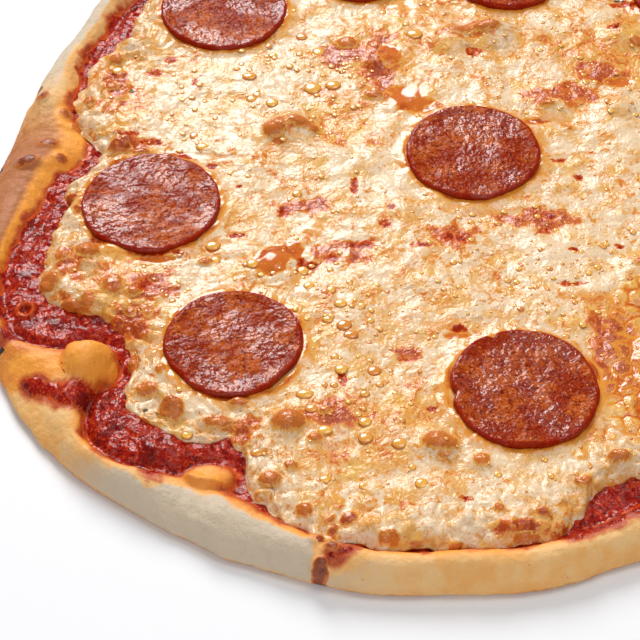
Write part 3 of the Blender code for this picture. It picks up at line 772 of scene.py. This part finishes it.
def melt_cheese():
    edge = outline_of("cheese")
    cheese = new_disc("melted_cheese", CHEESE_CELLS)
    u, v, _ = points_of(cheese).T
    share = np.minimum(np.hypot(u, v), 1)
    angle = np.arctan2(v, u)
    loop_x = CHEESE_REACH * np.cos(angle)
    loop_y = CHEESE_REACH * np.sin(angle)
    run = 2.4 * relief(loop_x, loop_y, 0.0085, 31) + 1.4 * relief(loop_x, loop_y, 0.0036, 32) + 1.0
    for direction, further, spread in CHEESE_RUNS:
        run = run + further * towards(np.degrees(angle), direction, spread)
    reach = edge(np.degrees(angle)) + run * MM
    across = share * reach
    x = across * np.cos(angle)
    y = across * np.sin(angle)
    from_edge = reach - across
    below = np.fmax(surface_of(sauce)(x, y), surface_of(crust)(x, y))
    below = np.nan_to_num(below, nan=SAUCE_TOP)
    top = lay_sheet(x, y, from_edge, below)

    # Waves, lumps at the border, fine foam and strings, all in millimetres.
    border = smooth(26 * MM, 5 * MM, from_edge)
    bent_x = x + 2.6 * MM * relief(x, y, 0.008, 29)
    bent_y = y + 2.6 * MM * relief(x, y, 0.008, 30)
    lumps, pick = pebbles(bent_x, bent_y, 0.0056, 33)
    foam, _ = pebbles(x, y, 0.0027, 34)
    waves = 0.40 * relief(x, y, 0.012, 35) + 0.36 * relief(x, y, 0.0055, 36) + 0.16 * relief(x, y, 0.0028, 37)
    string = np.abs(relief(x, y * 1.2, 0.0048, 38))
    strings = np.clip(1 - string * 5, 0, 1) * smooth(-0.2, 0.4, relief(x, y, 0.02, 39) + border - 0.3)
    detail = waves + 1.05 * (lumps - 0.35) * border + 0.14 * (foam - 0.5) + 0.40 * strings
    cracked = patches(x, y, CRACKED_AREAS, 0.15 * relief(x, y, 0.012, 40), 0.6)
    detail += cracked * 0.42 * (lumps - 0.6)

    # The sauce shows in hollows, oil levels the cheese, and blisters rise out of it.
    fray = 0.5 * relief(x, y, 0.0035, 41)
    red = 0.82 * patches(x, y, SAUCE_SHOWS, 0.30 + 0.9 * fray, 0.9)
    pool = patches(x, y, OIL_POOLS, 0.6 * fray, 0.3)
    film = patches(x, y, OIL_FILMS, 0.9 * fray, 0.5)
    detail = detail * (1 - 0.85 * np.maximum(pool, 0.8 * film)) - 0.40 * red * (1 - pool) - 0.35 * pool
    detail += 0.40 * relief(x, y, 0.0052, 49) * np.maximum(pool, film)
    risen = domes(x, y, CHEESE_BLISTERS)
    swollen = smooth(0.1 * MM, 0.8 * MM, risen)
    detail *= 1 - 0.6 * swollen
    top = top + detail * MM * smooth(0, 2.5 * MM, from_edge)
    blister = browning(x, y, CHEESE_BLISTERS, 0.25 * relief(x, y, 0.003, 48))
    blister = np.maximum(0.9 * blister, 0.62 * swollen)
    top += 1.1 * risen

    # The cheese swells round each slice, lies flat under it, and oil runs out of the slice.
    oil = np.maximum(1.15 * pool, 0.62 * film)
    for number, (_, centre_x, centre_y, radius, low) in enumerate(slices):
        off = np.hypot(x - centre_x, y - centre_y) - radius
        creep = np.clip(0.95 + 0.75 * relief(x, y, 0.013, 50 + number), 0.2, 1.5)
        top += creep * MM * np.exp(-((off / (3.2 * MM)) ** 2))
        top += (low - 0.25 * MM - top) * smooth(-0.6 * MM, -2.4 * MM, off)
        ring = np.exp(-((off - 0.3 * MM) / (1.6 * MM)) ** 2) * (1.0 + 0.5 * relief(x, y, 0.006, 43))
        slick = 0.62 * smooth(6.5 * MM, 1.5 * MM, off + 3 * MM * relief(x, y, 0.009, 42))
        oil = np.maximum(oil, np.maximum(ring, slick))

    lip = np.sqrt(1 - (1 - np.clip(from_edge / CHEESE_LIP, 0, 1)) ** 2)
    height = below - CHEESE_SUNK + (top - below + CHEESE_SUNK) * lip
    set_points(cheese, np.stack([x, y, height], axis=1))

    golden = patches(x, y, GOLDEN_AREAS, 0.2 * relief(x, y, 0.014, 44), 0.8)
    pale = patches(x, y, PALE_AREAS, 0.2 * relief(x, y, 0.014, 45), 0.8)
    hollow = 0.5 - 0.42 * detail
    amber = patches(x, y, AMBER_SPOTS, 0.50 * relief(x, y, 0.005, 51), 0.7)
    gold = 0.22 * hollow + 0.16 * golden - 0.24 * pale + 0.20 * relief(x, y, 0.009, 46) + 0.26
    paint(cheese, "gold", gold + 0.64 * amber)
    tinge = 0.55 * cracked + 0.40 * golden - 0.25 * pale + 0.10 + 0.25 * relief(x, y, 0.012, 52)
    paint(cheese, "yellow", tinge)
    cracks = cracked * (0.45 + 0.75 * smooth(0.55, 0.15, lumps))
    paint(cheese, "oil", np.maximum(oil, cracks) / OIL_MOST)
    brown = 0.8 * border * smooth(0.62, 0.85, pick) * smooth(0.25, 0.9, lumps)
    brown = brown * smooth(-0.4, 0.3, relief(x, y, 0.03, 47))
    paint(cheese, "brown", np.maximum(blister, brown))
    paint(cheese, "red", red)
    paint(cheese, "char", patches(x, y, CHEESE_CHAR, fray, 0.5))
    close_below(cheese, CHEESE_FLOOR)
    shade(cheese, melted_cheese())
    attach(cheese, "root")
    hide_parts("cheese")
    return cheese


cheese = melt_cheese()


# Fat bubbles
# Beads of golden fat that bubbled up through the cheese and set: smooth and glossy, with painted shade
# that darkens them round the foot and painted light on a lighter crown. One bead is modelled, then
# copied all over the cheese, flattened and at true size.
# The largest beads: x, y, half widths, in millimetres
BEADS = (
    (-94, 17, 1.5, 1.6), (-91, 11, 2.1, 1.7), (-59, -11, 1.6, 1.6), (-57, -46, 1.8, 1.9),
    (-55, -53, 1.6, 1.5), (-73, -44, 1.8, 1.9), (-86, -35, 2.3, 1.9), (-85, -41, 1.6, 1.5),
    (-18, 69, 2.8, 2.4), (-47, 42, 2.5, 2.1), (-91, -112, 1.6, 1.7), (-56, -98, 2.6, 1.8),
    (-54, -104, 1.9, 1.5), (-45, -88, 1.9, 1.8), (-35, -88, 2, 1.8), (-38, -109, 1.9, 1.7),
    (-38, -115, 2.1, 1.9), (-28, -117, 2.2, 2), (-22, -132, 1.8, 1.8), (-50, -112, 2.3, 1.7),
    (-44, -70, 2.2, 2), (-42, -74, 2.2, 1.7), (-122, 50, 1.8, 1.8), (-76, 46, 2.3, 1.8),
    (-75, 35, 1.8, 1.6), (-68, 33, 2, 2.1), (-73, 37, 1.4, 1.6), (-54, 41, 2.9, 2.8), (-68, 58, 1.5, 1.4),
    (-52, 60, 2, 2.2), (-58, 69, 1.9, 1.8), (-45, -61, 2, 1.6), (-48, -55, 1.4, 1.4),
    (-47, -83, 1.3, 1.2), (-38, -98, 1.4, 1.3), (-49, -67, 1.7, 1.5), (-79, 60, 1.4, 1.2),
    (-62, 52, 1.2, 1.2), (-50, -130, 1.6, 1.4), (-70, -120, 1.8, 1.5),
)
BEAD_COUNT = 1100
BEAD_SIZES = (0.45, 1.35)  # half widths of the scattered ones, in millimetres
BEAD_HEIGHT = 0.23  # as a share of the half width
BEAD_REACH = 142  # how far from the middle they may lie, in millimetres
# Where most of them lie: x, y, half widths
BEAD_AREAS = (
    (-56, 40, 36, 36), (-48, -60, 34, 34), (-40, -100, 30, 28), (-8, 96, 40, 22), (-100, -60, 20, 34),
    (-96, 26, 24, 26), (60, 40, 40, 40), (80, -60, 36, 40), (60, 110, 40, 26), (20, -40, 50, 34),
)


def golden_fat():
    fat = Finish("golden_fat")
    cloud = fat.noise(0.0009, detail=3)
    # Painted light and shade: each bead is darker orange towards its foot and lighter yellow at its crown.
    depth = fat.ramp(fat.sum(cloud, 0.3, fat.mask("crown")), 0.10, 1.0)
    base = fat.over(colour(208, 112, 30), colour(240, 182, 76), depth)
    base = fat.over(base, colour(206, 94, 26), fat.sum(fat.mask("warm"), 0.7))
    normal = fat.bump(cloud, 0.00006)
    return fat.done(
        base, 0.12, normal, Subsurface_Weight=0.15, Subsurface_Radius=(0.002, 0.001, 0.0004),
        Coat_Weight=0.5, Coat_Roughness=0.04,
    )


def set_beads():
    draw = np.random.default_rng(61)
    spots = draw.uniform(-BEAD_REACH, BEAD_REACH, (BEAD_COUNT * 6, 2)) * MM
    x, y = spots.T
    likely = 0.22 + patches(x, y, BEAD_AREAS, 0.0, 1.0) + 0.5 * relief(x, y, 0.009, 62)
    spots = spots[draw.uniform(0, 1, len(spots)) < likely]
    x, y = spots.T
    edge = outline_of("cheese")
    keep = np.hypot(x, y) < edge(np.degrees(np.arctan2(y, x))) - 5 * MM
    for _, centre_x, centre_y, radius, _ in slices:
        keep &= np.hypot(x - centre_x, y - centre_y) > radius + 1.8 * MM
    spots = spots[keep][:BEAD_COUNT]
    small = BEAD_SIZES[0] + (BEAD_SIZES[1] - BEAD_SIZES[0]) * draw.uniform(0, 1, len(spots)) ** 2.6
    middles = np.concatenate([spots, np.array(BEADS)[:, :2] * MM])
    small = np.stack([small, small * draw.uniform(0.75, 1.15, len(spots))], axis=1)
    widths = np.concatenate([small, np.array(BEADS)[:, 2:4] * 1.15])

    bpy.ops.object.select_all(action="DESELECT")
    bpy.ops.mesh.primitive_uv_sphere_add(segments=10, ring_count=6, radius=1, location=(0, 0, 0))
    bead = bpy.context.object
    bead.name = bead.data.name = "fat_bubbles"
    one = points_of(bead)
    faces = [face.vertices[:] for face in bead.data.polygons]
    ground = np.nan_to_num(surface_of(cheese)(middles[:, 0], middles[:, 1]), nan=CHEESE_TOP)
    round_shape = one[None] * (widths[:, None, [0, 1, 0]] * (1, 1, BEAD_HEIGHT)) * MM
    places = np.stack([middles[:, 0], middles[:, 1], ground + 0.05 * MM], axis=1)
    points = (round_shape + places[:, None]).reshape(-1, 3)
    all_faces = [
        [corner + number * len(one) for corner in face] for number in range(len(middles)) for face in faces
    ]
    bead.data.clear_geometry()
    bead.data.from_pydata(points.tolist(), [], all_faces)
    # The crown share drives the painted shade at each bead's foot and the painted light on its crown.
    paint(bead, "crown", np.tile(smooth(0.1, 0.95, one[:, 2]), len(middles)))
    paint(bead, "warm", np.repeat(draw.uniform(0, 1, len(middles)) ** 2, len(one)))
    shade(bead, golden_fat())
    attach(bead, "root")


set_beads()


# Pepperoni
# Thin slices of cured sausage, laid on the cheese before baking. They are brown-red with pits and
# grains of fat, shiny with oil, and a little raised and darker at the edge.
SLICE_CELLS = 104
SLICE_THICK = 1.75 * MM  # thickness in the middle, before it curled
# Dents in a slice's outline: direction in degrees, depth in millimetres, spread in degrees
SLICE_DENTS = {
    "pepperoni_02": ((245, 0.5, 12), (120, 0.4, 8)),
    "pepperoni_03": ((318, 1.7, 13), (352, 0.8, 9), (222, 1.0, 14), (60, 0.4, 10)),
    "pepperoni_04": ((300, 0.5, 8),),
    "pepperoni_05": ((186, 1.5, 5), (178, 0.8, 9), (112, 1.6, 2.2), (150, 0.5, 10), (20, 0.5, 12)),
    "pepperoni_08": ((200, 1.8, 4),),
    "pepperoni_11": ((70, 1.2, 6), (250, 1.0, 12)),
}


def cured_sausage():
    meat = Finish("cured_sausage")
    cloud = meat.noise(0.009, detail=3)
    grain = meat.noise(0.0016, detail=5, rough=0.7, warp=0.8)
    pit = meat.noise(0.0009, detail=3, rough=0.62, warp=0.5)
    base = meat.over(colour(150, 44, 11), colour(186, 86, 30), meat.ramp(cloud, 0.42, 0.62))
    base = meat.layers(base, grain, (0.48, 0.62, (118, 28, 7)))
    base = meat.layers(base, pit, (0.60, 0.70, (222, 136, 76)), (0.42, 0.34, (96, 12, 4)))
    rim = meat.ramp(meat.sum(grain, 0.35, meat.mask("rim")), 0.65, 1.05)
    base = meat.over(base, colour(150, 26, 5), meat.sum(rim, 0.8))
    normal = meat.bump(meat.noise(0.0021, detail=1.5), 0.00044)
    normal = meat.bump(meat.noise(0.0008, detail=1.5, rough=0.5), 0.00016, normal)
    rough = meat.sum(pit, 0.30, 0.04)
    oily = meat.sum(meat.ramp(meat.noise(0.014, detail=2), 0.44, 0.60), 0.28, 0.04)
    return meat.done(
        base, rough, normal, Subsurface_Weight=0.05, Subsurface_Radius=(0.002, 0.0006, 0.0003),
        Specular_IOR_Level=oily,
    )


sausage = cured_sausage()
plain_slice = new_disc("plain_slice", SLICE_CELLS)

for number, (node, centre_x, centre_y, radius, low) in enumerate(slices):
    piece = plain_slice.copy()
    piece.data = plain_slice.data.copy()
    piece.name = piece.data.name = "baked_" + node
    bpy.context.scene.collection.objects.link(piece)
    u, v, _ = points_of(piece).T
    share = np.minimum(np.hypot(u, v), 1)
    angle = np.arctan2(v, u)
    loop_x = np.cos(angle) * radius
    loop_y = np.sin(angle) * radius
    wavy = 0.5 * relief(loop_x, loop_y, 0.014, 70 + number)
    wavy = wavy + 0.22 * relief(loop_x, loop_y, 0.004, 90 + number)
    outline = radius + MM * wavy
    for direction, depth, spread in SLICE_DENTS.get(node, ()):
        outline = outline - depth * MM * towards(np.degrees(angle), direction, spread)
    across = share * outline
    x = centre_x + across * np.cos(angle)
    y = centre_y + across * np.sin(angle)
    from_edge = outline - across
    tilt = 0.35 * relief(x, y, 0.030, 110 + number) + 0.16 * relief(x, y, 0.008, 130 + number)
    uneven = 0.7 + 0.6 * relief(loop_x, loop_y, 0.02, 150 + number)
    curl = 0.45 * smooth(5 * MM, 1.2 * MM, from_edge) * uneven
    pits = 0.11 * relief(x, y, 0.0026, 170 + number) + 0.09 * relief(x, y, 0.0013, 190 + number)
    edge_drop = 0.75 * (1 - np.sqrt(1 - (1 - np.clip(from_edge / (1.0 * MM), 0, 1)) ** 2))
    above = tilt + curl + pits * smooth(0.3 * MM, 1.4 * MM, from_edge) - edge_drop
    height = low + SLICE_THICK + above * MM
    set_points(piece, np.stack([x, y, height], axis=1))
    paint(piece, "rim", smooth(2.6 * MM, 0.4 * MM, from_edge))
    close_below(piece, low)
    shade(piece, sausage)
    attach(piece, "root")
    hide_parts(node)

bpy.data.objects.remove(plain_slice, do_unlink=True)


# Table, light and camera
# A plain white table, lit by a strong soft lamp far behind, and weakly from above and in front. The
# camera looks down on the pizza from the front with a long lens.
CAMERA_PLACE = (-0.0515, -0.5038, 0.4908)
CAMERA_DOWN = 47.83  # degrees below the horizon
LENS = 117.56  # millimetres

bpy.ops.mesh.primitive_plane_add(size=6, location=(0, 0, -0.0001))
table = bpy.context.object
table.name = "table"
white = Finish("white_table")
table.data.materials.append(white.done(colour(241, 241, 243), 0.6, white.bump(white.noise(0.01), 0.00001)))


def soft_lamp(name, place, size, power):
    """A round white lamp of this width and power, turned towards the pizza."""
    data = bpy.data.lights.new(name, "AREA")
    data.shape = "DISK"
    data.size = size
    data.energy = power
    lamp = bpy.data.objects.new(name, data)
    lamp.location = place
    lamp.rotation_euler = (-Vector(place)).to_track_quat("-Z", "Y").to_euler()
    bpy.context.scene.collection.objects.link(lamp)


soft_lamp("back_lamp", (-0.42, 1.72, 1.30), 1.0, 42)
soft_lamp("top_lamp", (0.25, 0.10, 1.10), 0.60, 3.2)
soft_lamp("front_fill", (-0.15, -0.95, 0.70), 0.90, 3.4)

world = bpy.data.worlds.new("white_studio")
world.use_nodes = True
world.node_tree.nodes["Background"].inputs["Color"].default_value = (1, 1, 1, 1)
world.node_tree.nodes["Background"].inputs["Strength"].default_value = 0.27
bpy.context.scene.world = world
bpy.context.scene.view_settings.view_transform = "Standard"

camera = bpy.data.objects.new("camera", bpy.data.cameras.new("camera"))
camera.location = CAMERA_PLACE
camera.rotation_euler = (math.radians(90 - CAMERA_DOWN), 0, 0)
camera.data.lens = LENS
bpy.context.scene.collection.objects.link(camera)
bpy.context.scene.camera = camera
